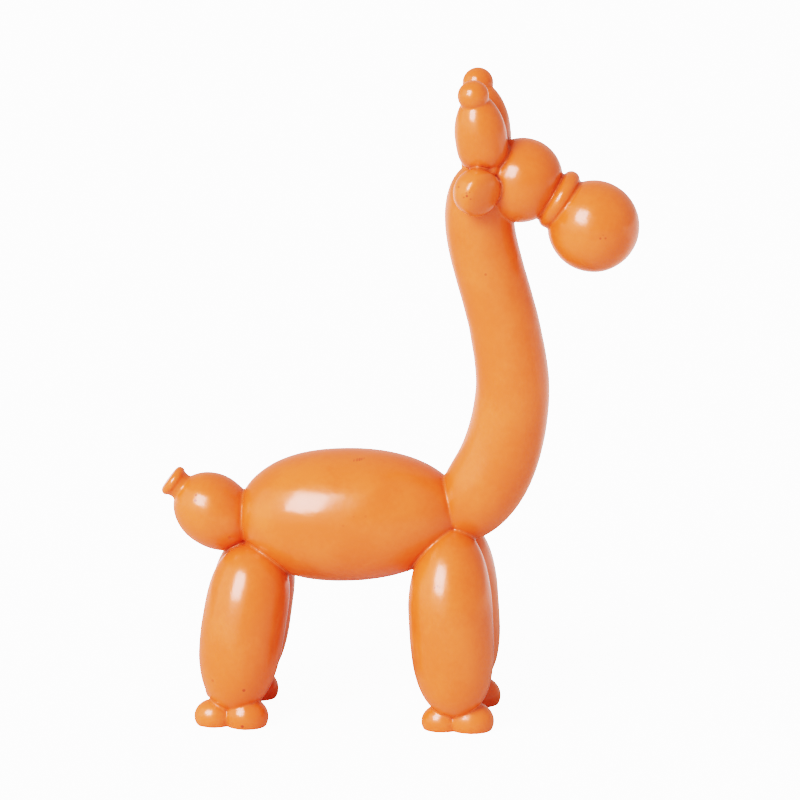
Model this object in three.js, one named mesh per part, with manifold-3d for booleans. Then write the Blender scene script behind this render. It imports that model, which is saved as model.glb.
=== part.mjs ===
// A giraffe ornament in the form of a twisted modelling balloon, cast as one solid piece.
// X runs from the tail to the snout, Y across the figure and Z up from the soles. The figure is the same on both
// sides of the plane Y = 0. Millimetres and degrees throughout.
import * as THREE from "three";
import { mergeVertices } from "three/addons/utils/BufferGeometryUtils.js";
import Module from "manifold-3d";

const wasm = await Module();
wasm.setup();

// Driving dimensions.
//
// A bubble is a round body on a straight axis, widest at `at`. It reaches `up` and `down` from there along its axis,
// and closes to a point at each end. `fullUp` and `fullDown` say how full the two ends are: 2 is an ellipsoid, and
// more is blunter. `lean` turns the axis from +Z towards +X. `splay` moves its upper end away from the middle plane.
// `bow` is how far forward the axis has curved at BOW_REACH from the widest place. `tuck` draws the upper end forwards
// and in towards the middle plane.
const BOW_REACH = 40;

const BODY = { at: [-24.7, 0, 95.9], radius: 30.8, up: 55.4, down: 50.4, lean: 87.5, fullUp: 2.14, fullDown: 2.35 };
const TAIL = { at: [-86.3, 0, 96.6], radius: 16.75, up: 19.3, down: 22.6, lean: -53.7 };
const HEAD = { at: [56, 0, 255.8], radius: 19.7, up: 18.8, down: 18.8, lean: 121 };
const SNOUT = { at: [89.1, 0, 234.9], radius: 21.1, up: 21.1, down: 21.1, lean: 121 };

// The neck is a long bubble on a curved axis, from the head down to the withers.
const NECK_AXIS = [[42.6, 264.2], [37.1, 234.4], [48.7, 186.3], [52.2, 153.9], [44.1, 119.8], [21.8, 87]];
const NECK = { topRadius: 16, bottomRadius: 19, topEnd: 23, bottomEnd: 40.8, full: 2.6 };

// The collar is a thick rounded disc between head and snout, thicker above than below.
const COLLAR = { at: [73.4, 0, 247.1], radius: 14.6, rim: 4, lean: 121, wedge: 0.22 };

// The tail knot is a short flared button on the end of the tail ball, measured along the ball's axis from its middle.
const KNOT = { root: 13, waist: 19.4, end: 25.2, waistRadius: 6.4, lipRadius: 7.6, lipRound: 2.3 };

// The twists are small balls where bubbles meet: the crown shows behind the horns, and the brow and the hip fill the
// gaps that the paired bubbles would shut in between them. The temples fill the corners between horn, ear and head.
const CROWN = { at: [33, 0, 263.3], radius: 4.6, up: 4.6, down: 4.6 };
const BROW = { at: [38.8, 0, 264.6], radius: 4.8, up: 4.8, down: 4.8 };
const HIP = { at: [-70.8, 0, 81], radius: 3.4, up: 3.4, down: 3.4 };

// Paired bubbles. The near one is given, on the -Y side, and the far one is its mirror image.
const HORN = {
  at: [38.1, -11.3, 279.3], radius: 11.9, up: 19.5, down: 17.4, lean: -7.9, splay: 4, fullUp: 1.7, fullDown: 4,
};
const HORN_TIP = { at: [35, -14.3, 297.7], radius: 7.2, up: 7.2, down: 7.2 };
const EAR = { at: [36.9, -21.5, 254.9], radius: 11, up: 8, down: 9.5, lean: 44, splay: 106, fullUp: 4.5 };
const TEMPLE = { at: [42.8, -14.5, 263.8], radius: 4.2, up: 4.2, down: 4.2 };
const FRONT_LEG = {
  at: [25.3, -17.5, 55.1], radius: 19.5, up: 40, down: 49.2, lean: -3.3, splay: -6, fullUp: 2.05, fullDown: 3.5,
  bow: 0.5, tuck: [3.3, 12],
};
const REAR_LEG = {
  at: [-70.9, -15.5, 45.3], radius: 19.4, up: 39, down: 40.6, lean: 8.1, splay: -8.5, fullUp: 3.5, fullDown: 2.6,
  bow: 1.5, tuck: [0, 6],
};

// Each foot is two merged lobes, one behind the other on axes along X, cut flat underneath at the height of the soles.
const FEET = [
  { at: [21.5, -20.6, 3.6], radius: 8.1, up: 9.4, down: 9.4, lean: 90 },
  { at: [35.3, -20.9, 4.2], radius: 9.2, up: 10.7, down: 10.7, lean: 90 },
  { at: [-83.9, -22.6, 4], radius: 8.1, up: 9.3, down: 9.3, lean: 90 },
  { at: [-68.9, -23.2, 4.3], radius: 9.4, up: 10.4, down: 10.4, lean: 90 },
];

// How finely the round bodies are faceted.
const FACET = 6.5;

// A number of facets for a length, never fewer than the least.
function facets(length, least) {
  return Math.max(least, 2 * Math.round(length / FACET / 2));
}

// The radius of a bubble at the height h from its widest place.
function bubbleRadius(bubble, h) {
  const reach = h > 0 ? bubble.up : bubble.down;
  const full = (h > 0 ? bubble.fullUp : bubble.fullDown) ?? 2;
  return bubble.radius * Math.sqrt(Math.max(0, 1 - Math.pow(Math.abs(h) / reach, full)));
}

// A solid of revolution about Z from a profile of [radius, height] pairs that starts and ends on the axis.
function turned(profile, around) {
  const points = profile.map(([radius, height]) => new THREE.Vector2(radius, height));
  return new THREE.LatheGeometry(points, around).rotateX(Math.PI / 2);
}

// The profile of a bubble, with its steps drawn together towards the two ends, where it curves most.
function bubbleProfile(bubble, steps) {
  const profile = [];
  for (let i = 0; i <= steps; i++) {
    const t = -Math.cos((Math.PI * i) / steps);
    const height = t > 0 ? t * bubble.up : t * bubble.down;
    const onAxis = i === 0 || i === steps;
    profile.push([onAxis ? 0 : bubbleRadius(bubble, height), height]);
  }
  return profile;
}

// Places a shape made about Z at the origin: leaned, splayed and moved, on the near or the far side.
function place(geometry, { at, lean = 0, splay = 0 }, far) {
  const side = far ? -1 : 1;
  return geometry
    .rotateY(THREE.MathUtils.degToRad(lean))
    .rotateX(THREE.MathUtils.degToRad(splay * side))
    .translate(at[0], at[1] * side, at[2]);
}

function bubble(size, far = false) {
  const around = facets(2 * Math.PI * size.radius, 14);
  const steps = facets(1.25 * (size.up + size.down), 8);
  const geometry = turned(bubbleProfile(size, steps), around);
  const { bow = 0, tuck = [0, 0] } = size;
  const side = far ? -1 : 1;
  const position = geometry.getAttribute("position");
  for (let i = 0; i < position.count; i++) {
    const height = position.getZ(i);
    const bend = bow * (height / BOW_REACH) ** 2;
    const tucked = Math.max(0, height / size.up) ** 2;
    position.setX(i, position.getX(i) + bend + tuck[0] * tucked);
    position.setY(i, position.getY(i) + tuck[1] * tucked * side);
  }
  return place(geometry, size, far);
}

// The neck: a straight turned bubble whose axis is then laid along the curve.
function neck() {
  const curve = new THREE.CatmullRomCurve3(
    NECK_AXIS.map(([x, z]) => new THREE.Vector3(x, 0, z)), false, "catmullrom", 0.5,
  );
  const length = curve.getLength();
  const steps = facets(1.15 * length, 20);
  const profile = [];
  for (let i = 0; i <= steps; i++) {
    const height = (length * (1 - Math.cos((Math.PI * i) / steps))) / 2;
    const swell = THREE.MathUtils.smoothstep(height / length, 0.3, 1);
    const radius = THREE.MathUtils.lerp(NECK.topRadius, NECK.bottomRadius, swell);
    const intoTop = Math.max(0, 1 - height / NECK.topEnd);
    const intoBottom = Math.max(0, 1 - (length - height) / NECK.bottomEnd);
    const closing = (1 - intoTop ** NECK.full) * (1 - intoBottom ** NECK.full);
    profile.push([i === 0 || i === steps ? 0 : radius * Math.sqrt(closing), height]);
  }
  const geometry = turned(profile, facets(2 * Math.PI * NECK.bottomRadius, 14));
  const position = geometry.getAttribute("position");
  for (let i = 0; i < position.count; i++) {
    const u = THREE.MathUtils.clamp(position.getZ(i) / length, 0, 1);
    const centre = curve.getPointAt(u);
    const along = curve.getTangentAt(u);
    const outward = new THREE.Vector3(along.z, 0, -along.x);
    centre.addScaledVector(outward, position.getX(i));
    position.setXYZ(i, centre.x, position.getY(i), centre.z);
  }
  return geometry;
}

// The collar: a disc with a round rim, its thickness growing from the underside to the top.
function collar() {
  const profile = [[0, -COLLAR.rim]];
  const rimSteps = 6;
  for (let i = 0; i <= rimSteps; i++) {
    const angle = Math.PI * (i / rimSteps - 0.5);
    profile.push([COLLAR.radius - COLLAR.rim * (1 - Math.cos(angle)), COLLAR.rim * Math.sin(angle)]);
  }
  profile.push([0, COLLAR.rim]);
  const geometry = turned(profile, facets(2 * Math.PI * COLLAR.radius, 20));
  const position = geometry.getAttribute("position");
  for (let i = 0; i < position.count; i++) {
    const grown = 1 - (COLLAR.wedge * position.getX(i)) / COLLAR.radius;
    position.setZ(i, position.getZ(i) * grown);
  }
  return place(geometry, COLLAR, false);
}

// The tail knot: a waist that flares to a rounded lip and a flat end.
function knot() {
  const { root, waist, end, waistRadius, lipRadius, lipRound } = KNOT;
  const profile = [[0, root], [waistRadius, root], [waistRadius, waist]];
  const lipSteps = 5;
  for (let i = 0; i <= lipSteps; i++) {
    const angle = (Math.PI / 2) * ((1.6 * i) / lipSteps - 0.6);
    profile.push([lipRadius - lipRound * (1 - Math.cos(angle)), end - lipRound * (1 - Math.sin(angle))]);
  }
  profile.push([0, end]);
  return place(turned(profile, facets(2 * Math.PI * lipRadius, 18)), TAIL, false);
}

// Everything on one side of the middle plane.
function pairs(far) {
  return [
    bubble(HORN, far),
    bubble(HORN_TIP, far),
    bubble(EAR, far),
    bubble(TEMPLE, far),
    bubble(FRONT_LEG, far),
    bubble(REAR_LEG, far),
    ...FEET.map((lobe) => bubble(lobe, far)),
  ];
}

// A closed mesh as a solid that can be joined and cut.
function solid(geometry) {
  const bare = geometry.clone();
  bare.deleteAttribute("normal");
  bare.deleteAttribute("uv");
  const merged = mergeVertices(bare, 1e-3);
  return new wasm.Manifold(
    new wasm.Mesh({
      numProp: 3,
      vertProperties: merged.getAttribute("position").array,
      triVerts: new Uint32Array(merged.index.array),
    }),
  );
}

// A slab of space under the soles, which the lobes are cut off at.
function belowSoles() {
  const depth = 60;
  return solid(new THREE.BoxGeometry(400, 200, depth).translate(0, 0, -depth / 2));
}

const bubbles = [
  bubble(BODY),
  bubble(TAIL),
  knot(),
  neck(),
  bubble(CROWN),
  bubble(BROW),
  bubble(HIP),
  bubble(HEAD),
  collar(),
  bubble(SNOUT),
  ...pairs(false),
  ...pairs(true),
];

const casting = bubbles
  .map(solid)
  .reduce((whole, next) => whole.add(next))
  .subtract(belowSoles())
  .getMesh();

const geometry = new THREE.BufferGeometry()
  .setAttribute("position", new THREE.BufferAttribute(casting.vertProperties, 3))
  .setIndex(new THREE.BufferAttribute(casting.triVerts, 1));
geometry.computeVertexNormals();

const lacquer = new THREE.MeshStandardMaterial({ color: 0xee904b, roughness: 0.28, metalness: 0 });

const giraffe = new THREE.Mesh(geometry, lacquer);
giraffe.name = "balloon_giraffe";

const ornament = new THREE.Group();
ornament.add(giraffe);

export default ornament;
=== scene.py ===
"""A glossy giraffe ornament, cast in resin in the form of a twisted balloon, on a plain studio stage."""

import math

import bpy
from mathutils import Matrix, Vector


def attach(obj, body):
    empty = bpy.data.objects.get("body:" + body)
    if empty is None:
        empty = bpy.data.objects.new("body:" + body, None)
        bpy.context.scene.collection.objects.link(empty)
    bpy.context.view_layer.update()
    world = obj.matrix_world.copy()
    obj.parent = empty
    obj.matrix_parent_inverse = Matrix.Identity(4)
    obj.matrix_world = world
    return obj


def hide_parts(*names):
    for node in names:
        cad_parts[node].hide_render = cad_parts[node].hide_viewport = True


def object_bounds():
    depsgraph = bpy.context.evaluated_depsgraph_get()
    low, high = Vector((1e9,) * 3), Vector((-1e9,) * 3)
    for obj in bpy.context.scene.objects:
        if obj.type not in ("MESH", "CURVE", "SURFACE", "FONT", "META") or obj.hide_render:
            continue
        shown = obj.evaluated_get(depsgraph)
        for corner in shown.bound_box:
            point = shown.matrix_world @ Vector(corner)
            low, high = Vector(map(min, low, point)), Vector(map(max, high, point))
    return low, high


bl_info = {
    "name": "Cast Balloon Giraffe",
    "version": (1, 0, 0),
    "blender": (4, 5, 0),
    "location": "3D View > Sidebar > Giraffe",
    "description": "Models a lacquered resin giraffe ornament and the stage it stands on",
    "category": "Add Mesh",
}

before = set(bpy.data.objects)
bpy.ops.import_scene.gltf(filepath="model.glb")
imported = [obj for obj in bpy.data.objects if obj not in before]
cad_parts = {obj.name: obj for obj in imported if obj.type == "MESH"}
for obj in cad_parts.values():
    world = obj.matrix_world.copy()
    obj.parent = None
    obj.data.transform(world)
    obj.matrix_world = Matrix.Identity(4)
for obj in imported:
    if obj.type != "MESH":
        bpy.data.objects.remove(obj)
CAD_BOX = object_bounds()

MM = 0.001
TAU = 2 * math.pi


# --------------------------------------------------------------------------------------------------
# The bubbles, in millimetres and degrees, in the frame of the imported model. `at` and `radius` give a
# bubble's widest place, `reach` is how far it goes up and down its axis from there, and `full` is how
# blunt those two ends are: 2 is an ellipsoid. `lean` turns the axis from +Z towards +X, `splay` moves
# its upper end away from the middle plane, `bow` is how far it curves forwards at BOW_REACH from the
# widest place, and `tuck` draws its upper end forwards and in. The crown, brow, hip and temples are
# small balls that fill the corners where bubbles meet. The paired bubbles are given on the near side.
BOW_REACH = 40

SINGLE_BUBBLES = {
    "body": dict(
        at=(-24.7, 0, 95.9), radius=30.8, reach=(55.4, 50.4), full=(2.14, 2.35), lean=87.5),
    "tail": dict(at=(-86.3, 0, 96.6), radius=16.75, reach=(19.3, 22.6), lean=-53.7),
    "head": dict(at=(56, 0, 255.8), radius=19.7, reach=(18.8, 18.8), lean=121),
    "snout": dict(at=(89.1, 0, 234.9), radius=21.1, reach=(21.1, 21.1), lean=121),
    "crown": dict(at=(33, 0, 263.3), radius=4.6, reach=(4.6, 4.6)),
    "brow": dict(at=(38.8, 0, 264.6), radius=4.8, reach=(4.8, 4.8)),
    "hip": dict(at=(-70.8, 0, 81), radius=3.4, reach=(3.4, 3.4)),
}

PAIRED_BUBBLES = {
    "horn": dict(
        at=(38.1, -11.3, 279.3), radius=11.9, reach=(19.5, 17.4), full=(1.7, 4), lean=-7.9, splay=4),
    "horn_tip": dict(at=(35, -14.3, 297.7), radius=7.2, reach=(7.2, 7.2)),
    "ear": dict(
        at=(36.9, -21.5, 254.9), radius=11, reach=(8, 9.5), full=(4.5, 2), lean=44, splay=106),
    "temple": dict(at=(42.8, -14.5, 263.8), radius=4.2, reach=(4.2, 4.2)),
    "front_leg": dict(
        at=(25.3, -17.5, 55.1), radius=19.5, reach=(40, 49.2), full=(2.05, 3.5), lean=-3.3, splay=-6,
        bow=0.5, tuck=(3.3, 12)),
    "rear_leg": dict(
        at=(-70.9, -15.5, 45.3), radius=19.4, reach=(39, 40.6), full=(3.5, 2.6), lean=8.1, splay=-8.5,
        bow=1.5, tuck=(0, 6)),
    "front_heel": dict(at=(21.5, -20.6, 3.6), radius=8.1, reach=(9.4, 9.4), lean=90),
    "front_toe": dict(at=(35.3, -20.9, 4.2), radius=9.2, reach=(10.7, 10.7), lean=90),
    "rear_heel": dict(at=(-83.9, -22.6, 4), radius=8.1, reach=(9.3, 9.3), lean=90),
    "rear_toe": dict(at=(-68.9, -23.2, 4.3), radius=9.4, reach=(10.4, 10.4), lean=90),
}

# The neck's axis from the head down, as (x, z). Its two ends close over `top_end` and `bottom_end`, and
# it swells to its lower radius from a share `swell_from` of its length.
NECK_AXIS = ((42.6, 264.2), (37.1, 234.4), (48.7, 186.3), (52.2, 153.9), (44.1, 119.8), (21.8, 87))
NECK = dict(top_radius=16, bottom_radius=19, top_end=23, bottom_end=40.8, full=2.6, swell_from=0.3)

# The collar is a disc with a round rim of radius `rim`. Each face is tilted to rise by `wedge` of the
# rim over one radius, so that the collar is thicker above than below, and what lies further than
# `faces_from` from its middle plane tilts with it.
COLLAR = dict(at=(73.4, 0, 247.1), radius=14.6, rim=4, lean=121, wedge=0.22, faces_from=0.2)

# The knot's heights are along the tail's axis, from the tail's widest place. Its rounded lip starts at
# `lip_start` and turns by `lip_turn`, in quarter turns: 0 faces outwards, and 1 is the flat end.
KNOT = dict(root=13, waist=19.4, end=25.2, waist_radius=6.4, lip_radius=7.6, lip_round=2.3,
            lip_start=-0.6, lip_turn=1.6)

# The fewest steps along and around a body, where the facet alone would leave a small one coarse, and
# the steps on a curved axis.
FEWEST_STEPS = 16
FEWEST_AROUND = 32
FEWEST_AROUND_KNOT = 48
AXIS_STEPS = 40
NECK_SPAN_STEPS = 24

# Pinholes, nicks and specks in the lacquer on the near side, as x, z and radius in millimetres, and how
# deep each is, from 0 to 1.
NEAR_SIDE_MARKS = (
    # Snout
    (93.5, 234, 0.7, 0.5), (95.8, 234, 0.65, 0.45), (94.7, 235.5, 0.5, 0.3),
    # Ear
    (33.6, 255.3, 0.75, 0.7), (33.4, 256.6, 0.6, 0.4), (34.9, 257, 0.5, 0.4), (32.2, 254.5, 0.6, 0.5),
    (35.3, 253.8, 0.6, 0.4), (29.6, 258.6, 0.6, 0.5),
    # A short scratch along the top of the body, and three faint specks on its side
    (-19.8, 124.7, 0.5, 0.3), (-18.4, 124.9, 0.6, 0.4), (-17.3, 125, 0.6, 0.5), (-16.3, 125.1, 0.5, 0.4),
    (-15.3, 125.3, 0.4, 0.3),
    (-18.3, 103, 0.7, 0.2), (-12.8, 103.2, 0.8, 0.2), (-23, 98.8, 0.7, 0.2),
    # Rear foot and leg
    (-69.8, 2, 1, 0.8), (-68.8, 20, 1, 0.6), (-83.4, 23.8, 0.9, 0.35),
    # Tail ball
    (-93, 104.7, 0.8, 0.8), (-92.8, 107, 0.6, 0.6), (-77.3, 87.3, 1, 0.35),
    # Neck
    (41, 215, 0.8, 0.45),
    # Front leg
    (20.5, 71.7, 0.7, 0.7), (21.5, 71.2, 0.6, 0.6), (19.2, 70.8, 0.6, 0.5),
)

# The orange peel is dimples of this size in millimetres, over wider runs whose scale is `run_scale` of
# the dimples', each with its share of the height.
PEEL = dict(dimple=1.1, run_scale=0.36, dimple_share=0.3, run_share=0.7)

# The lacquer's thickness varies in patches of this size in millimetres, and in a mottle that is finer
# by `mottle_scale`. The two together, by their shares, make it full up to `thick` and thin from `thin`
# on. Thin lacquer is rougher by `roughening`.
THICKNESS = dict(
    patch=22, mottle_scale=9.0, patch_share=0.72, mottle_share=0.28,
    thick=0.34, thin=0.66, roughening=0.05)

# Painted shade darkens the creases, where the ambient occlusion finds them closed in. It starts where a
# place is less open than `open`, and is complete at `shut`, where 1 is a plain bulge and 0 a closed
# crack. There it shows this share of the dark crease colour, and is rougher by `roughening`.
CREASE_SHADE = dict(shut=0.45, open=0.95, share=0.65, roughening=0.2)

# How deep a full mark is, as a share of the orange peel's depth, and where in its radius its soft edge
# starts.
MARK_BUMP = 0.5
MARK_EDGE = 0.5

# The key light is a square softbox high on the left of the camera, with a brighter middle, and the fill
# is a wide white screen further left. Angles are in degrees as seen from the figure, the distance is in
# metres, and a lamp of brightness 1 gives LAMP_WATTS a square metre.
LAMPS = {
    "key_middle": dict(azimuth=-31, elevation=34, width=18, height=20, brightness=8),
    "key_edge": dict(azimuth=-31, elevation=34, width=27, height=30, brightness=11),
    "fill": dict(azimuth=-50, elevation=24, width=90, height=48, brightness=0.58),
}
LAMP_DISTANCE = 20
LAMP_WATTS = 4

# The camera's distance, the width of its view and its clip end are in metres, and its sensor in
# millimetres. It and the lamps are turned to the middle of the figure, which is in millimetres. The
# floor is in metres.
CAMERA = dict(azimuth=4.9, elevation=14.5, distance=3.5, view_width=0.368, sensor=36, clip_end=100)
FIGURE_MIDDLE = (0.5, 0, 151)
FLOOR_SIZE = 60

# The wall behind the figure, as the gloss shows it. On the floor it begins between these distances, in
# metres. In the room it fades in between these shares of a direction's Y, and out between these shares
# of its Z. It reaches further round on the snout's side, by `skew`.
WALL_IN_GLOSS = dict(floor=(0.12, 0.4), room=(0.5, 0.8), height=(0.3, 0.6), skew=0.2)


# --------------------------------------------------------------------------------------------------
# Properties

class CastingSizes(bpy.types.PropertyGroup):
    """How finely the casting is modelled, and how its creases are filled"""

    facet: bpy.props.FloatProperty(
        name="Facet", description="Length of the facets that a bubble is turned with",
        default=1.4 * MM, min=0.5 * MM, max=6 * MM, unit="LENGTH", subtype="DISTANCE")
    grain: bpy.props.FloatProperty(
        name="Grain", description="Size of the cells that the bubbles are cast together with",
        default=0.5 * MM, min=0.3 * MM, max=3 * MM, unit="LENGTH", subtype="DISTANCE")
    crease_passes: bpy.props.IntProperty(
        name="Crease passes", description="Passes of smoothing that fill the creases between the bubbles",
        default=4, min=0, max=40)
    sanding: bpy.props.FloatProperty(
        name="Hand sanding", description="Depth of the shallow hollows that hand sanding left",
        default=0.15 * MM, min=0, max=1 * MM, unit="LENGTH", subtype="DISTANCE")
    sanding_width: bpy.props.FloatProperty(
        name="Sanding width", description="Width of the shallow hollows that hand sanding left",
        default=9 * MM, min=1 * MM, max=60 * MM, unit="LENGTH", subtype="DISTANCE")
    triangles: bpy.props.IntProperty(
        name="Triangles", description="Most triangles in the finished casting",
        default=190000, min=20000, max=199000)


class LacquerLook(bpy.types.PropertyGroup):
    """Colours and finish of the lacquer, and the painted shade in its creases"""

    colour: bpy.props.FloatVectorProperty(
        name="Lacquer", description="Colour of the lacquer", subtype="COLOR", size=3, min=0, max=1,
        default=(0.61, 0.094, 0.025))
    thin_colour: bpy.props.FloatVectorProperty(
        name="Thin lacquer", description="Colour where the lacquer lies thinner",
        subtype="COLOR", size=3, min=0, max=1, default=(0.65, 0.108, 0.03))
    # This dark colour is painted shade in the creases, and also the colour of the real pinholes and specks.
    crease_shade_and_mark_colour: bpy.props.FloatVectorProperty(
        name="Crease shade and marks", description="Colour where the lacquer has run together in creases and marks",
        subtype="COLOR", size=3, min=0, max=1, default=(0.24, 0.03, 0.012))
    roughness: bpy.props.FloatProperty(
        name="Roughness", description="Roughness of the lacquer",
        default=0.24, min=0, max=1, subtype="FACTOR")
    peel_depth: bpy.props.FloatProperty(
        name="Orange peel", description="Depth of the fine unevenness of the sprayed lacquer",
        default=0.06 * MM, min=0, max=0.5 * MM, unit="LENGTH", subtype="DISTANCE")
    # How far from a crease the painted shade reaches.
    crease_shade_width: bpy.props.FloatProperty(
        name="Crease shade width", description="How far from a crease the lacquer has run together",
        default=2.2 * MM, min=0, max=10 * MM, unit="LENGTH", subtype="DISTANCE")


class StageLook(bpy.types.PropertyGroup):
    """Floor, light and camera"""

    floor_colour: bpy.props.FloatVectorProperty(
        name="Floor", description="Colour of the floor", subtype="COLOR", size=3, min=0, max=1,
        default=(0.92, 0.92, 0.92))
    floor_glow: bpy.props.FloatProperty(
        name="Floor glow", description="How much paler the floor shows to the camera",
        default=4.5, min=0, max=5)
    floor_in_gloss: bpy.props.FloatProperty(
        name="Floor in gloss",
        description="How much of its brightness the floor keeps where the lacquer mirrors it",
        default=0.4, min=0, max=1)
    surroundings: bpy.props.FloatProperty(
        name="Surroundings", description="Brightness of the white room",
        default=0.76, min=0, max=5)
    near_wall: bpy.props.FloatProperty(
        name="Near wall", description="Brightness of the room behind the camera, in the gloss",
        default=0.45, min=0, max=5)
    far_wall: bpy.props.FloatProperty(
        name="Far wall", description="Brightness of the room behind the figure, in the gloss",
        default=0.55, min=0, max=5)
    lamps: bpy.props.FloatProperty(
        name="Lamps", description="Brightness of all the lamps together",
        default=1, min=0, max=20)


# --------------------------------------------------------------------------------------------------
# Modelling

def direction(azimuth, elevation):
    """The direction from the figure to a camera or lamp. Azimuth 0 is the near side, 90 the snout's."""
    turn, rise = math.radians(azimuth), math.radians(elevation)
    return Vector((math.sin(turn) * math.cos(rise), -math.cos(turn) * math.cos(rise), math.sin(rise)))


def deselect_all():
    """Leaves edit mode and selects nothing."""
    if bpy.context.object is not None and bpy.context.object.mode != "OBJECT":
        bpy.ops.object.mode_set(mode="OBJECT")
    bpy.ops.object.select_all(action="DESELECT")


def select_only(piece):
    """Selects one piece, and makes it the active one."""
    deselect_all()
    piece.select_set(True)
    bpy.context.view_layer.objects.active = piece


def apply_modifier(piece, name):
    """Applies one of a piece's modifiers to its mesh."""
    select_only(piece)
    bpy.ops.object.modifier_apply(modifier=name)


def turned(name, profile, around):
    """A closed body turned about the Z axis, from its profile of (radius, height) points in millimetres."""
    deselect_all()
    (first_radius, first_height), *rest = profile
    bpy.ops.mesh.primitive_plane_add(size=MM, location=(0, 0, 0))
    piece = bpy.context.object
    piece.name = name
    bpy.ops.object.mode_set(mode="EDIT")
    bpy.ops.mesh.merge(type="CENTER")
    bpy.ops.transform.translate(value=(first_radius * MM, 0, first_height * MM))
    radius, height = first_radius, first_height
    for next_radius, next_height in rest:
        step = ((next_radius - radius) * MM, 0, (next_height - height) * MM)
        bpy.ops.mesh.extrude_vertices_move(TRANSFORM_OT_translate={"value": step})
        radius, height = next_radius, next_height
    bpy.ops.mesh.select_all(action="SELECT")
    bpy.ops.mesh.spin(steps=around, angle=TAU, center=(0, 0, 0), axis=(0, 0, 1))
    bpy.ops.mesh.select_all(action="SELECT")
    bpy.ops.mesh.remove_doubles(threshold=0.01 * MM)
    bpy.ops.mesh.normals_make_consistent(inside=False)
    bpy.ops.object.mode_set(mode="OBJECT")
    return piece


def bubble_profile(radius, reach, full, facet):
    """The profile of a bubble, with its steps drawn together towards the two ends, where it curves most."""
    up, down = reach
    steps = max(FEWEST_STEPS, 2 * round((up + down) / facet / 2))
    profile = []
    for i in range(steps + 1):
        t = -math.cos(math.pi * i / steps)
        end, fullness = (up, full[0]) if t > 0 else (down, full[1])
        across = 0 if i in (0, steps) else radius * math.sqrt(1 - abs(t) ** fullness)
        profile.append((across, t * end))
    return profile


def lay_along(piece, points):
    """Lays a body made about the Z axis, from height 0 upwards, along a line of points in millimetres."""
    line = bpy.data.curves.new("axis", "CURVE")
    line.dimensions = "3D"
    spline = line.splines.new("POLY")
    spline.points.add(len(points) - 1)
    for node, point in zip(spline.points, points):
        node.co = (*(c * MM for c in point), 1)
    guide = bpy.data.objects.new("axis", line)
    bpy.context.collection.objects.link(guide)
    bend = piece.modifiers.new("Axis", "CURVE")
    bend.object = guide
    bend.deform_axis = "POS_Z"
    apply_modifier(piece, bend.name)
    bpy.data.objects.remove(guide)
    bpy.data.curves.remove(line)


def raise_by(piece, height):
    """Moves a body up its own axis by a height in millimetres."""
    select_only(piece)
    bpy.ops.object.mode_set(mode="EDIT")
    bpy.ops.mesh.select_all(action="SELECT")
    bpy.ops.transform.translate(value=(0, 0, height * MM))
    bpy.ops.object.mode_set(mode="OBJECT")


def put_in_place(piece, at, lean=0, splay=0):
    """Leans, splays and moves a body made about the Z axis, and applies that to its mesh."""
    select_only(piece)
    piece.rotation_mode = "YXZ"
    piece.rotation_euler = (math.radians(splay), math.radians(lean), 0)
    piece.location = Vector(at) * MM
    bpy.ops.object.transform_apply(location=True, rotation=True, scale=True)


def bubble(name, facet, at, radius, reach, full=(2, 2), lean=0, splay=0, bow=0, tuck=(0, 0)):
    """One bubble of the balloon, in its place."""
    around = max(FEWEST_AROUND, round(TAU * radius / facet))
    piece = turned(name, bubble_profile(radius, reach, full, facet), around)
    if bow or any(tuck):
        up, down = reach
        raise_by(piece, down)
        points = []
        for i in range(AXIS_STEPS + 1):
            height = -down + (up + down) * i / AXIS_STEPS
            bend = bow * (height / BOW_REACH) ** 2
            tucked = max(0, height / up) ** 2
            points.append((bend + tuck[0] * tucked, tuck[1] * tucked, height))
        lay_along(piece, points)
    put_in_place(piece, at, lean, splay)
    return piece


def smooth_line(knots, per_span):
    """Points on the smooth curve through the given (x, z) knots, in the middle plane."""
    first, last = Vector(knots[0]), Vector(knots[-1])
    line = [2 * first - Vector(knots[1]), *(Vector(k) for k in knots), 2 * last - Vector(knots[-2])]
    points = []
    for before, start, end, after in zip(line, line[1:], line[2:], line[3:]):
        for i in range(per_span):
            t = i / per_span
            slope_in, slope_out = (end - before) / 2, (after - start) / 2
            x, z = (
                (2 * t**3 - 3 * t**2 + 1) * start + (t**3 - 2 * t**2 + t) * slope_in
                + (3 * t**2 - 2 * t**3) * end + (t**3 - t**2) * slope_out
            )
            points.append((x, 0, z))
    points.append((last.x, 0, last.y))
    return points


def neck(facet):
    """The long bubble on a curved axis, from the head down to the withers."""
    points = smooth_line(NECK_AXIS, NECK_SPAN_STEPS)
    length = sum(math.dist(a, b) for a, b in zip(points, points[1:]))
    steps = 2 * round(length / facet / 2)
    profile = []
    for i in range(steps + 1):
        height = length * (1 - math.cos(math.pi * i / steps)) / 2
        swell = min(1, max(0, (height / length - NECK["swell_from"]) / (1 - NECK["swell_from"])))
        swell = swell * swell * (3 - 2 * swell)
        radius = NECK["top_radius"] + (NECK["bottom_radius"] - NECK["top_radius"]) * swell
        into_top = max(0, 1 - height / NECK["top_end"])
        into_bottom = max(0, 1 - (length - height) / NECK["bottom_end"])
        closing = (1 - into_top ** NECK["full"]) * (1 - into_bottom ** NECK["full"])
        profile.append((0 if i in (0, steps) else radius * math.sqrt(closing), height))
    piece = turned("neck", profile, round(TAU * NECK["bottom_radius"] / facet))
    lay_along(piece, points)
    return piece


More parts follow.
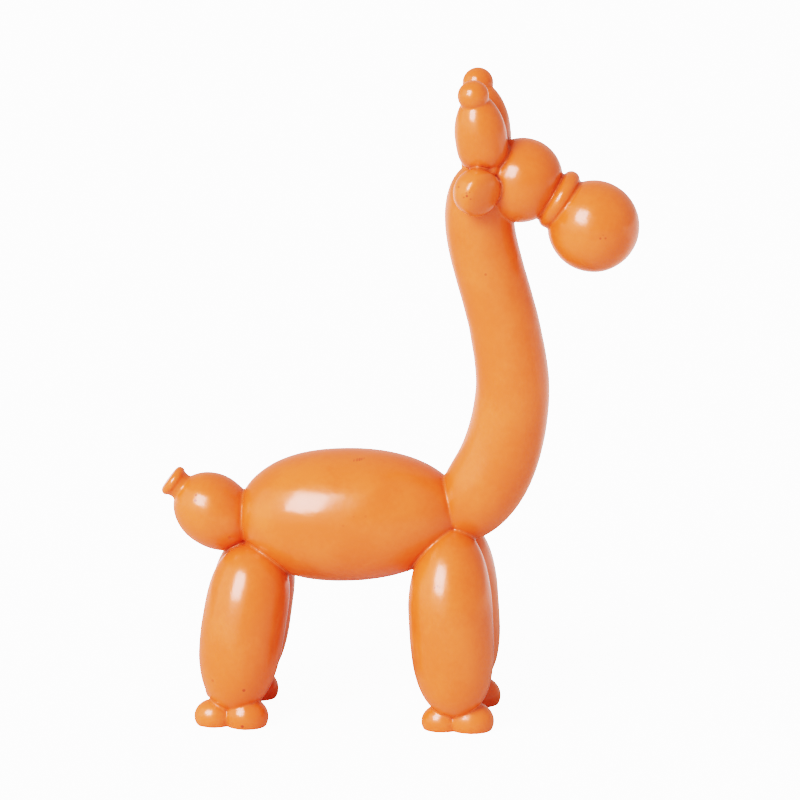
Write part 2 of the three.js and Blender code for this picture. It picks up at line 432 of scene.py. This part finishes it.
def collar(facet):
    """The thick rounded disc between head and snout, thicker above than below."""
    radius, rim = COLLAR["radius"], COLLAR["rim"]
    rim_steps = 16
    profile = [(0, -rim)]
    for i in range(rim_steps + 1):
        angle = math.pi * (i / rim_steps - 0.5)
        profile.append((radius - rim * (1 - math.cos(angle)), rim * math.sin(angle)))
    profile.append((0, rim))
    piece = turned("collar", profile, round(TAU * radius / facet))
    tilt = math.atan2(rim * COLLAR["wedge"], radius)
    for side in (1, -1):
        select_only(piece)
        for vertex in piece.data.vertices:
            vertex.select = vertex.co.z * side > COLLAR["faces_from"] * MM
        bpy.ops.object.mode_set(mode="EDIT")
        bpy.ops.transform.rotate(value=side * tilt, orient_axis="Y", center_override=(0, 0, 0))
        bpy.ops.object.mode_set(mode="OBJECT")
    put_in_place(piece, COLLAR["at"], COLLAR["lean"])
    return piece


def knot(facet):
    """The tail knot: a waist that flares to a rounded lip and a flat end."""
    end, lip_radius, lip_round = KNOT["end"], KNOT["lip_radius"], KNOT["lip_round"]
    root, waist, waist_radius = KNOT["root"], KNOT["waist"], KNOT["waist_radius"]
    profile = [(0, root), (waist_radius, root), (waist_radius, waist)]
    lip_steps = 12
    for i in range(lip_steps + 1):
        angle = math.pi / 2 * (KNOT["lip_turn"] * i / lip_steps + KNOT["lip_start"])
        across = lip_radius - lip_round * (1 - math.cos(angle))
        profile.append((across, end - lip_round * (1 - math.sin(angle))))
    profile.append((0, end))
    piece = turned("knot", profile, max(FEWEST_AROUND_KNOT, round(TAU * lip_radius / facet)))
    tail = SINGLE_BUBBLES["tail"]
    put_in_place(piece, tail["at"], tail["lean"])
    return piece


def cut_below_soles(piece):
    """Cuts a body off flat at the height of the soles."""
    select_only(piece)
    bpy.ops.object.mode_set(mode="EDIT")
    bpy.ops.mesh.select_all(action="SELECT")
    bpy.ops.mesh.bisect(plane_co=(0, 0, 0), plane_no=(0, 0, 1), use_fill=True, clear_inner=True)
    bpy.ops.object.mode_set(mode="OBJECT")


def mirror_to_far_side(piece):
    """Adds the mirror image of a body on the far side of the middle plane."""
    mirror = piece.modifiers.new("Far side", "MIRROR")
    mirror.use_axis = (False, True, False)
    mirror.use_mirror_merge = False
    apply_modifier(piece, mirror.name)


def sand_by_hand(casting, sizes):
    """Leaves the shallow, uneven hollows of hand sanding in a smooth surface."""
    hollows = bpy.data.textures.new("sanding", "CLOUDS")
    hollows.noise_scale = sizes.sanding_width
    hollows.noise_depth = 1
    uneven = casting.modifiers.new("Sanding", "DISPLACE")
    uneven.texture = hollows
    uneven.texture_coords = "LOCAL"
    uneven.strength = sizes.sanding
    uneven.mid_level = 0.5
    apply_modifier(casting, uneven.name)
    bpy.data.textures.remove(hollows)


def cast_together(pieces, name, sizes):
    """Joins overlapping closed bodies into one closed skin with filled creases."""
    deselect_all()
    for piece in pieces:
        piece.select_set(True)
    bpy.context.view_layer.objects.active = pieces[0]
    bpy.ops.object.join()
    casting = bpy.context.object
    casting.name = name
    casting.data.name = name
    remesh = casting.modifiers.new("Cast", "REMESH")
    remesh.mode = "VOXEL"
    remesh.voxel_size = sizes.grain
    apply_modifier(casting, remesh.name)
    smooth = casting.modifiers.new("Creases", "SMOOTH")
    smooth.factor = 0.5
    smooth.iterations = sizes.crease_passes
    apply_modifier(casting, smooth.name)
    sand_by_hand(casting, sizes)
    casting.data.calc_loop_triangles()
    fewer = casting.modifiers.new("Triangles", "DECIMATE")
    fewer.ratio = min(1, sizes.triangles / len(casting.data.loop_triangles))
    apply_modifier(casting, fewer.name)
    select_only(casting)
    bpy.ops.object.shade_smooth()
    return casting


# --------------------------------------------------------------------------------------------------
# Materials

def node_group(name, inputs, outputs):
    """A shader node group with its sockets, given as (name, kind, default)."""
    group = bpy.data.node_groups.new(name, "ShaderNodeTree")
    for socket_name, kind, default in inputs:
        socket = group.interface.new_socket(socket_name, in_out="INPUT", socket_type=kind)
        if default is not None:
            socket.default_value = default
    for socket_name, kind in outputs:
        group.interface.new_socket(socket_name, in_out="OUTPUT", socket_type=kind)
    start = group.nodes.new("NodeGroupInput")
    end = group.nodes.new("NodeGroupOutput")
    return group, start, end


def add_math(tree, operation, *values):
    """A Math node with its values set or linked. Gives its output socket."""
    node = tree.nodes.new("ShaderNodeMath")
    node.operation = operation
    for socket, value in zip(node.inputs, values):
        if isinstance(value, (int, float)):
            socket.default_value = value
        else:
            tree.links.new(value, socket)
    return node.outputs[0]


def noise(tree, place, scale, detail=0.0):
    """A Noise texture node's height from 0 to 1, at a linked scale."""
    texture = tree.nodes.new("ShaderNodeTexNoise")
    texture.inputs["Detail"].default_value = detail
    tree.links.new(place, texture.inputs["Vector"])
    tree.links.new(scale, texture.inputs["Scale"])
    return texture.outputs["Fac"]


def split(tree, place):
    """The X, Y and Z of a place or direction, as three sockets."""
    node = tree.nodes.new("ShaderNodeSeparateXYZ")
    tree.links.new(place, node.inputs["Vector"])
    return node.outputs["X"], node.outputs["Y"], node.outputs["Z"]


def ramp(tree, value, start, end, low=0.0, high=1.0):
    """A value mapped smoothly from start..end to low..high."""
    node = tree.nodes.new("ShaderNodeMapRange")
    node.interpolation_type = "SMOOTHSTEP"
    node.inputs["From Min"].default_value = start
    node.inputs["From Max"].default_value = end
    node.inputs["To Min"].default_value = low
    node.inputs["To Max"].default_value = high
    tree.links.new(value, node.inputs["Value"])
    return node.outputs["Result"]


def mix_colours(tree, factor, first, second):
    """Two colours mixed by a factor. Each colour is a value or a linked socket."""
    node = tree.nodes.new("ShaderNodeMix")
    node.data_type = "RGBA"
    tree.links.new(factor, node.inputs["Factor"])
    for socket, colour in ((node.inputs["A"], first), (node.inputs["B"], second)):
        if isinstance(colour, bpy.types.NodeSocket):
            tree.links.new(colour, socket)
        else:
            socket.default_value = (*colour, 1)
    return node.outputs["Result"]


def add_group(tree, group, place):
    """A node group placed in a tree, with its place linked."""
    node = tree.nodes.new("ShaderNodeGroup")
    node.node_tree = group
    tree.links.new(place, node.inputs["Vector"])
    return node


def orange_peel_group():
    """The fine dimples of sprayed lacquer over wider runs, as a height from 0 to 1."""
    group, start, end = node_group(
        "Orange peel",
        [("Vector", "NodeSocketVector", None), ("Dimple", "NodeSocketFloat", PEEL["dimple"] * MM)],
        [("Height", "NodeSocketFloat")],
    )
    place = start.outputs["Vector"]
    scale = add_math(group, "DIVIDE", 1.0, start.outputs["Dimple"])
    dimples = noise(group, place, scale, detail=1.0)
    runs = noise(group, place, add_math(group, "MULTIPLY", scale, PEEL["run_scale"]))
    height = add_math(
        group, "ADD",
        add_math(group, "MULTIPLY", dimples, PEEL["dimple_share"]),
        add_math(group, "MULTIPLY", runs, PEEL["run_share"]),
    )
    group.links.new(height, end.inputs["Height"])
    return group


def thickness_group():
    """How thin the lacquer lies, as a mask from 0 to 1, in soft patches with finer mottling."""
    group, start, end = node_group(
        "Lacquer thickness",
        [("Vector", "NodeSocketVector", None), ("Patch", "NodeSocketFloat", THICKNESS["patch"] * MM)],
        [("Mask", "NodeSocketFloat")],
    )
    place = start.outputs["Vector"]
    scale = add_math(group, "DIVIDE", 1.0, start.outputs["Patch"])
    finer = add_math(group, "MULTIPLY", scale, THICKNESS["mottle_scale"])
    patches = noise(group, place, scale, detail=2.0)
    mottle = noise(group, place, finer, detail=2.0)
    blend = add_math(
        group, "ADD",
        add_math(group, "MULTIPLY", patches, THICKNESS["patch_share"]),
        add_math(group, "MULTIPLY", mottle, THICKNESS["mottle_share"]),
    )
    group.links.new(ramp(group, blend, THICKNESS["thick"], THICKNESS["thin"]), end.inputs["Mask"])
    return group


def mark_group():
    """One mark in the near side: a mask that is 1 at its centre and 0 outside its radius."""
    group, start, end = node_group(
        "Near side mark",
        [
            ("Vector", "NodeSocketVector", None),
            ("X", "NodeSocketFloat", 0.0),
            ("Z", "NodeSocketFloat", 0.0),
            ("Radius", "NodeSocketFloat", 0.5 * MM),
        ],
        [("Mask", "NodeSocketFloat")],
    )
    x, y, z = split(group, start.outputs["Vector"])
    along = add_math(group, "SUBTRACT", x, start.outputs["X"])
    above = add_math(group, "SUBTRACT", z, start.outputs["Z"])
    along_squared = add_math(group, "MULTIPLY", along, along)
    above_squared = add_math(group, "MULTIPLY", above, above)
    distance = add_math(group, "SQRT", add_math(group, "ADD", along_squared, above_squared))
    share = add_math(group, "DIVIDE", distance, start.outputs["Radius"])
    inside = ramp(group, share, MARK_EDGE, 1.0, 1.0, 0.0)
    near_side = add_math(group, "LESS_THAN", y, 0.0)
    group.links.new(add_math(group, "MULTIPLY", inside, near_side), end.inputs["Mask"])
    return group


def all_marks(tree, place):
    """The mask of every mark together, each as strong as it is deep."""
    group = mark_group()
    together = None
    for x, z, radius, depth in NEAR_SIDE_MARKS:
        mark = add_group(tree, group, place)
        mark.inputs["X"].default_value = x * MM
        mark.inputs["Z"].default_value = z * MM
        mark.inputs["Radius"].default_value = radius * MM
        mask = add_math(tree, "MULTIPLY", mark.outputs["Mask"], depth)
        together = mask if together is None else add_math(tree, "MAXIMUM", together, mask)
    return together


def lacquer_material(look):
    """The orange gloss lacquer, with its peel, its thin places, painted shade in its creases, and its
    marks.
    """
    material = bpy.data.materials.new("orange_lacquer")
    material.use_nodes = True
    tree = material.node_tree
    shader = tree.nodes["Principled BSDF"]
    shader.inputs["IOR"].default_value = 1.5
    shader.inputs["Coat Weight"].default_value = 0.15
    shader.inputs["Coat Roughness"].default_value = 0.14
    place = tree.nodes.new("ShaderNodeTexCoord").outputs["Object"]
    peel = add_group(tree, orange_peel_group(), place).outputs["Height"]
    thin = add_group(tree, thickness_group(), place).outputs["Mask"]
    marks = all_marks(tree, place)

    # Painted shade: the ambient occlusion darkens and roughens the lacquer in the creases between the
    # bubbles, where shade falls. The same dark colour also shows the real marks.
    crease = tree.nodes.new("ShaderNodeAmbientOcclusion")
    crease.samples = 8
    crease.only_local = True
    crease.inputs["Distance"].default_value = look.crease_shade_width
    crease_shade = ramp(tree, crease.outputs["AO"], CREASE_SHADE["shut"], CREASE_SHADE["open"], 1.0, 0.0)
    deep = add_math(tree, "MAXIMUM", add_math(tree, "MULTIPLY", crease_shade, CREASE_SHADE["share"]), marks)
    coat = mix_colours(tree, thin, look.colour, look.thin_colour)
    tree.links.new(mix_colours(tree, deep, coat, look.crease_shade_and_mark_colour), shader.inputs["Base Color"])

    rougher = add_math(
        tree, "ADD",
        add_math(tree, "MULTIPLY", thin, THICKNESS["roughening"]),
        add_math(tree, "MULTIPLY", crease_shade, CREASE_SHADE["roughening"]),
    )
    smoothest = look.roughness - THICKNESS["roughening"] / 2
    tree.links.new(add_math(tree, "ADD", rougher, smoothest), shader.inputs["Roughness"])

    hollows = add_math(tree, "MULTIPLY", marks, MARK_BUMP)
    surface = add_math(tree, "SUBTRACT", peel, hollows)
    bump = tree.nodes.new("ShaderNodeBump")
    bump.inputs["Distance"].default_value = look.peel_depth
    tree.links.new(surface, bump.inputs["Height"])
    tree.links.new(bump.outputs["Normal"], shader.inputs["Normal"])
    return material


def behind_the_figure(tree, x, y, span):
    """0 in front of and beside the figure, rising over a span of Y, with a little of X, to 1 behind it."""
    back = add_math(tree, "ADD", y, add_math(tree, "MULTIPLY", x, WALL_IN_GLOSS["skew"]))
    return ramp(tree, back, *span)


def floor_material(look):
    """A pale matt floor, paler to the camera, and in the gloss dim near the figure and pale behind it."""
    material = bpy.data.materials.new("pale_floor")
    material.use_nodes = True
    tree = material.node_tree
    shader = tree.nodes["Principled BSDF"]
    shader.inputs["Roughness"].default_value = 0.9
    shader.inputs["Specular IOR Level"].default_value = 0.0
    shader.inputs["Emission Color"].default_value = (1, 1, 1, 1)
    x, y, _ = split(tree, tree.nodes.new("ShaderNodeTexCoord").outputs["Object"])
    path = tree.nodes.new("ShaderNodeLightPath")
    in_gloss = path.outputs["Is Glossy Ray"]
    dim = [c * look.floor_in_gloss for c in look.floor_colour]
    tree.links.new(mix_colours(tree, in_gloss, look.floor_colour, dim), shader.inputs["Base Color"])
    behind = behind_the_figure(tree, x, y, WALL_IN_GLOSS["floor"])
    pale = add_math(tree, "MULTIPLY", add_math(tree, "MULTIPLY", behind, in_gloss), look.far_wall)
    glow = add_math(tree, "MULTIPLY", path.outputs["Is Camera Ray"], look.floor_glow)
    tree.links.new(add_math(tree, "ADD", glow, pale), shader.inputs["Emission Strength"])
    return material


def room_light(tree, look):
    """A white room that casts an even light. In the gloss its far wall is brighter than the rest of it."""
    background = tree.nodes["Background"]
    background.inputs["Color"].default_value = (1, 1, 1, 1)
    x, y, z = split(tree, tree.nodes.new("ShaderNodeTexCoord").outputs["Generated"])
    behind = behind_the_figure(tree, x, y, WALL_IN_GLOSS["room"])
    wall = add_math(tree, "MULTIPLY", behind, ramp(tree, z, *WALL_IN_GLOSS["height"], 1.0, 0.0))
    paler = add_math(tree, "MULTIPLY", wall, look.far_wall - look.near_wall)
    shine = add_math(tree, "ADD", paler, look.near_wall)
    path = tree.nodes.new("ShaderNodeLightPath")
    seen = tree.nodes.new("ShaderNodeMix")
    seen.inputs["A"].default_value = look.surroundings
    tree.links.new(path.outputs["Is Glossy Ray"], seen.inputs["Factor"])
    tree.links.new(shine, seen.inputs["B"])
    tree.links.new(seen.outputs["Result"], background.inputs["Strength"])


# --------------------------------------------------------------------------------------------------
# Stage

def floor(look):
    """The pale floor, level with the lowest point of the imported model."""
    low, _ = CAD_BOX
    deselect_all()
    bpy.ops.mesh.primitive_plane_add(size=FLOOR_SIZE, location=(0, 0, low[2]))
    plane = bpy.context.object
    plane.name = "floor"
    bpy.ops.object.transform_apply(location=True, rotation=True, scale=True)
    plane.data.materials.append(floor_material(look))
    return plane


def lamp(name, middle, power, azimuth, elevation, width, height, brightness):
    """A flat rectangular lamp turned to the figure, as wide and high as the given angles."""
    toward_lamp = direction(azimuth, elevation)
    bpy.ops.object.light_add(type="AREA", location=middle + toward_lamp * LAMP_DISTANCE)
    light = bpy.context.object
    light.name = name
    light.rotation_euler = toward_lamp.to_track_quat("Z", "Y").to_euler()
    light.data.shape = "RECTANGLE"
    light.data.size = 2 * LAMP_DISTANCE * math.tan(math.radians(width / 2))
    light.data.size_y = 2 * LAMP_DISTANCE * math.tan(math.radians(height / 2))
    light.data.energy = power * brightness * LAMP_WATTS * light.data.size * light.data.size_y


def camera(middle):
    """The camera, turned to the figure, with the lens that gives the width of its view."""
    toward_camera = direction(CAMERA["azimuth"], CAMERA["elevation"])
    bpy.ops.object.camera_add(
        location=middle + toward_camera * CAMERA["distance"],
        rotation=toward_camera.to_track_quat("Z", "Y").to_euler(),
    )
    viewer = bpy.context.object
    viewer.name = "camera"
    viewer.data.sensor_width = CAMERA["sensor"]
    viewer.data.lens = CAMERA["sensor"] * CAMERA["distance"] / CAMERA["view_width"]
    viewer.data.clip_end = CAMERA["clip_end"]
    return viewer


# --------------------------------------------------------------------------------------------------
# Operators

class GIRAFFE_OT_casting(bpy.types.Operator):
    """Model the whole figure: the bubbles of a twisted balloon, cast together as one piece"""

    bl_idname = "giraffe.casting"
    bl_label = "Giraffe casting"
    bl_options = {"REGISTER", "UNDO"}

    def execute(self, context):
        sizes = context.scene.giraffe_sizes
        facet = sizes.facet / MM
        bodies = [bubble(name, facet, **shape) for name, shape in SINGLE_BUBBLES.items()]
        for name, shape in PAIRED_BUBBLES.items():
            body = bubble(name, facet, **shape)
            if name.endswith(("_heel", "_toe")):
                cut_below_soles(body)
            mirror_to_far_side(body)
            bodies.append(body)
        bodies += [neck(facet), collar(facet), knot(facet)]
        casting = cast_together(bodies, "giraffe", sizes)
        casting.data.materials.clear()
        casting.data.materials.append(lacquer_material(context.scene.giraffe_lacquer))
        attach(casting, "root")
        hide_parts("balloon_giraffe")
        return {"FINISHED"}


class GIRAFFE_OT_stage(bpy.types.Operator):
    """Set up the pale floor, the white room, the softbox and the camera"""

    bl_idname = "giraffe.stage"
    bl_label = "Stage"
    bl_options = {"REGISTER", "UNDO"}

    def execute(self, context):
        look = context.scene.giraffe_stage
        middle = Vector(FIGURE_MIDDLE) * MM
        floor(look)

        world = bpy.data.worlds.new("white_room")
        context.scene.world = world
        world.use_nodes = True
        room_light(world.node_tree, look)

        for name, shape in LAMPS.items():
            lamp(name, middle, look.lamps, **shape)
        context.scene.camera = camera(middle)
        context.scene.view_settings.view_transform = "Filmic"
        context.scene.view_settings.look = "Very High Contrast"
        return {"FINISHED"}


class GIRAFFE_PT_panel(bpy.types.Panel):
    """Shows the settings of the casting, the lacquer and the stage, with buttons to build them"""

    bl_idname = "GIRAFFE_PT_panel"
    bl_label = "Giraffe ornament"
    bl_space_type = "VIEW_3D"
    bl_region_type = "UI"
    bl_category = "Giraffe"

    def draw(self, context):
        layout = self.layout
        scene = context.scene
        for group in (scene.giraffe_sizes, scene.giraffe_lacquer, scene.giraffe_stage):
            box = layout.box()
            for name in group.bl_rna.properties.keys():
                if name not in ("rna_type", "name"):
                    box.prop(group, name)
        layout.operator(GIRAFFE_OT_casting.bl_idname)
        layout.operator(GIRAFFE_OT_stage.bl_idname)


CLASSES = (CastingSizes, LacquerLook, StageLook, GIRAFFE_OT_casting, GIRAFFE_OT_stage, GIRAFFE_PT_panel)


def register():
    for cls in CLASSES:
        bpy.utils.register_class(cls)
    bpy.types.Scene.giraffe_sizes = bpy.props.PointerProperty(type=CastingSizes)
    bpy.types.Scene.giraffe_lacquer = bpy.props.PointerProperty(type=LacquerLook)
    bpy.types.Scene.giraffe_stage = bpy.props.PointerProperty(type=StageLook)


def unregister():
    del bpy.types.Scene.giraffe_stage
    del bpy.types.Scene.giraffe_lacquer
    del bpy.types.Scene.giraffe_sizes
    for cls in reversed(CLASSES):
        bpy.utils.unregister_class(cls)


def main():
    """Models the figure and sets up its stage."""
    register()
    bpy.ops.giraffe.casting()
    bpy.ops.giraffe.stage()


if __name__ == "__main__":
    main()
